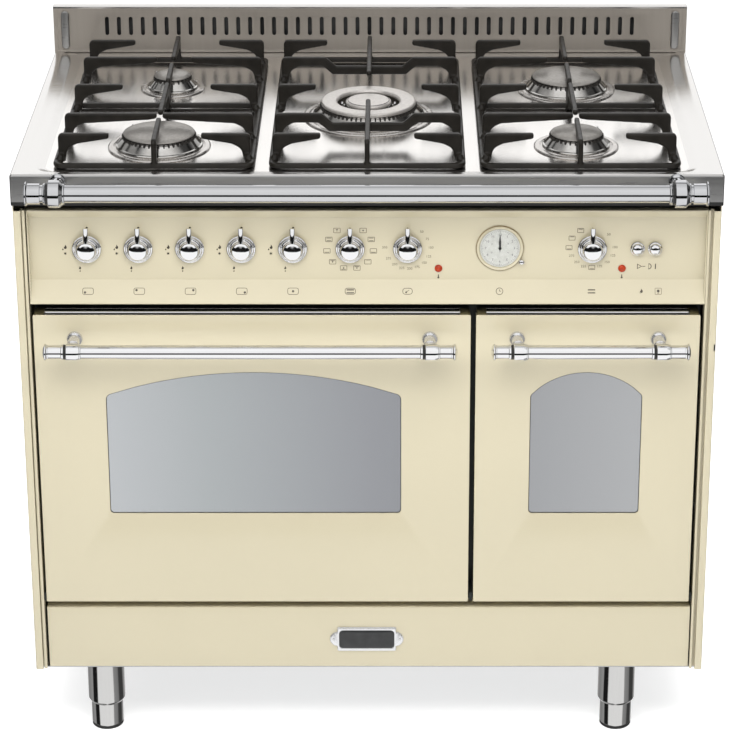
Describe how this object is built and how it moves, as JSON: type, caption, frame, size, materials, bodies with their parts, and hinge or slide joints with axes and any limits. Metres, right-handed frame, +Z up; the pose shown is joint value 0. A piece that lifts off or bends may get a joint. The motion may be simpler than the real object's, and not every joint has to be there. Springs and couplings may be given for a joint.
{
  "type": "range cooker with double oven",
  "caption": "Wide free-standing cooker: pressed steel hob with gas burners and cast pan supports over a knob panel and drop-down oven doors, on legs.",
  "frame": {"origin": "middle of the outline's rectangle, on the floor under the feet", "axes": "+X to the right as the user faces it, +Y towards the wall behind it, +Z up; the doors and knobs face -Y"},
  "size_m": [1, 0.6694, 0.985],
  "materials": {
    "stainless": "brushed, satin",
    "cast_iron": "matt enamelled cast iron",
    "burner_alloy": "turned, satin",
    "burner_cap": "satin enamel",
    "chrome": "polished",
    "enamel": "glossy cream enamel",
    "brass": "plain",
    "zinc": "zinc plated",
    "lamp": "translucent orange",
    "hand": "black",
    "dark_steel": "matt black",
    "oven_enamel": "speckled vitreous enamel",
    "seal": "woven",
    "glass": "clear, tinted",
    "element": "oxidised"
  },
  "bodies": {
    "cabinet": {"worktop": "stainless", "splashback": "stainless", "burner_cups": "burner_alloy", "burner_heads": "burner_alloy", "burner_caps": "burner_cap", "hob_rail": "chrome", "control_panel": "enamel", "gas_manifold": "brass", "oven_controls": "zinc", "clock_case": "chrome", "pilot_lamps": "lamp", "side_panel_left": "enamel", "side_panel_right": "enamel", "rear_panel": "zinc", "base_pan": "zinc", "front_frame": "dark_steel", "plinth_panel": "enamel", "name_plate": "chrome", "leg_tubes": "stainless", "foot_inserts": "stainless", "main_cavity": "oven_enamel", "small_cavity": "oven_enamel", "wire_shelves": "chrome", "shelf_runners": "stainless", "fan_motor": "zinc", "fan_cover": "oven_enamel", "heating_elements": "element", "door_seals": "seal"},
    "support_left": {"pan_support_left": "cast_iron"},
    "support_centre": {"pan_support_centre": "cast_iron"},
    "support_right": {"pan_support_right": "cast_iron"},
    "main_door": {"main_door_panel": "enamel", "main_door_window": "glass", "main_door_liner": "stainless", "main_door_handle": "chrome", "main_door_hinges": "zinc"},
    "small_door": {"small_door_panel": "enamel", "small_door_window": "glass", "small_door_liner": "stainless", "small_door_handle": "chrome", "small_door_hinges": "zinc"},
    "spindle_1": {"gas_spindle_1": "zinc"},
    "gas_tap_1": {"gas_knob_1": "chrome"},
    "spindle_2": {"gas_spindle_2": "zinc"},
    "gas_tap_2": {"gas_knob_2": "chrome"},
    "spindle_3": {"gas_spindle_3": "zinc"},
    "gas_tap_3": {"gas_knob_3": "chrome"},
    "spindle_4": {"gas_spindle_4": "zinc"},
    "gas_tap_4": {"gas_knob_4": "chrome"},
    "spindle_5": {"gas_spindle_5": "zinc"},
    "gas_tap_5": {"gas_knob_5": "chrome"},
    "function_selector": {"function_knob": "chrome"},
    "thermostat": {"thermostat_knob": "chrome"},
    "small_oven_control": {"small_oven_knob": "chrome"},
    "lamp_push": {"lamp_button": "chrome"},
    "ignition_push": {"ignition_button": "chrome"},
    "crown": {"clock_crown": "chrome"},
    "minute_hand": {"clock_minute_hand": "hand"},
    "hour_hand": {"clock_hour_hand": "hand"},
    "fan": {"fan_impeller": "stainless"}
  },
  "joints": [
    {"name": "gas_push_1", "type": "slide", "parent": "cabinet", "child": "spindle_1", "axis": [0, 1, 0], "range_m": [0, 0.0035], "stiffness_N_per_m": 1200, "springref_m": -0.002},
    {"name": "gas_turn_1", "type": "hinge", "parent": "spindle_1", "child": "gas_tap_1", "pos_m": [-0.398, -0.252, 0.792], "axis": [0, -1, 0], "range_deg": [0, 160]},
    {"name": "gas_push_2", "type": "slide", "parent": "cabinet", "child": "spindle_2", "axis": [0, 1, 0], "range_m": [0, 0.0035], "stiffness_N_per_m": 1200, "springref_m": -0.002},
    {"name": "gas_turn_2", "type": "hinge", "parent": "spindle_2", "child": "gas_tap_2", "pos_m": [-0.325, -0.252, 0.792], "axis": [0, -1, 0], "range_deg": [0, 160]},
    {"name": "gas_push_3", "type": "slide", "parent": "cabinet", "child": "spindle_3", "axis": [0, 1, 0], "range_m": [0, 0.0035], "stiffness_N_per_m": 1200, "springref_m": -0.002},
    {"name": "gas_turn_3", "type": "hinge", "parent": "spindle_3", "child": "gas_tap_3", "pos_m": [-0.252, -0.252, 0.792], "axis": [0, -1, 0], "range_deg": [0, 160]},
    {"name": "gas_push_4", "type": "slide", "parent": "cabinet", "child": "spindle_4", "axis": [0, 1, 0], "range_m": [0, 0.0035], "stiffness_N_per_m": 1200, "springref_m": -0.002},
    {"name": "gas_turn_4", "type": "hinge", "parent": "spindle_4", "child": "gas_tap_4", "pos_m": [-0.179, -0.252, 0.792], "axis": [0, -1, 0], "range_deg": [0, 160]},
    {"name": "gas_push_5", "type": "slide", "parent": "cabinet", "child": "spindle_5", "axis": [0, 1, 0], "range_m": [0, 0.0035], "stiffness_N_per_m": 1200, "springref_m": -0.002},
    {"name": "gas_turn_5", "type": "hinge", "parent": "spindle_5", "child": "gas_tap_5", "pos_m": [-0.106, -0.252, 0.792], "axis": [0, -1, 0], "range_deg": [0, 160]},
    {"name": "function_turn", "type": "hinge", "parent": "cabinet", "child": "function_selector", "pos_m": [-0.0245, -0.252, 0.792], "axis": [0, 1, 0], "continuous": true},
    {"name": "thermostat_turn", "type": "hinge", "parent": "cabinet", "child": "thermostat", "pos_m": [0.057, -0.252, 0.792], "axis": [0, 1, 0], "range_deg": [0, 270]},
    {"name": "small_oven_turn", "type": "hinge", "parent": "cabinet", "child": "small_oven_control", "pos_m": [0.319, -0.252, 0.792], "axis": [0, 1, 0], "range_deg": [0, 330]},
    {"name": "lamp_press", "type": "slide", "parent": "cabinet", "child": "lamp_push", "axis": [0, 1, 0], "range_m": [0, 0.003], "stiffness_N_per_m": 700, "springref_m": -0.0015},
    {"name": "ignition_press", "type": "slide", "parent": "cabinet", "child": "ignition_push", "axis": [0, 1, 0], "range_m": [0, 0.003], "stiffness_N_per_m": 700, "springref_m": -0.0015},
    {"name": "crown_turn", "type": "hinge", "parent": "cabinet", "child": "crown", "pos_m": [0.219, -0.246, 0.772], "axis": [0, 1, 0], "continuous": true},
    {"name": "minute_turn", "type": "hinge", "parent": "cabinet", "child": "minute_hand", "pos_m": [0.188, -0.245, 0.792], "axis": [0, 1, 0], "continuous": true},
    {"name": "hour_turn", "type": "hinge", "parent": "cabinet", "child": "hour_hand", "pos_m": [0.188, -0.244, 0.792], "axis": [0, 1, 0], "continuous": true},
    {"name": "fan_spin", "type": "hinge", "parent": "cabinet", "child": "fan", "pos_m": [-0.165, 0.195, 0.465], "axis": [0, 1, 0], "continuous": true},
    {"name": "main_door_hinge", "type": "hinge", "parent": "cabinet", "child": "main_door", "pos_m": [-0.165, -0.25, 0.241], "axis": [1, 0, 0], "range_deg": [0, 90], "stiffness_Nm_per_rad": 6, "springref_deg": -17.19},
    {"name": "small_door_hinge", "type": "hinge", "parent": "cabinet", "child": "small_door", "pos_m": [0.315, -0.25, 0.241], "axis": [1, 0, 0], "range_deg": [0, 90], "stiffness_Nm_per_rad": 3, "springref_deg": -17.19},
    {"name": "support_left_lift", "type": "slide", "parent": "cabinet", "child": "support_left", "axis": [0, 0, 1], "range_m": [0, 0.08]},
    {"name": "support_centre_lift", "type": "slide", "parent": "cabinet", "child": "support_centre", "axis": [0, 0, 1], "range_m": [0, 0.08]},
    {"name": "support_right_lift", "type": "slide", "parent": "cabinet", "child": "support_right", "axis": [0, 0, 1], "range_m": [0, 0.08]}
  ],
  "couplings": [
    {"joint": "minute_turn", "follows": "crown_turn", "ratio": 1},
    {"joint": "hour_turn", "follows": "crown_turn", "ratio": 0.083333}
  ]
}
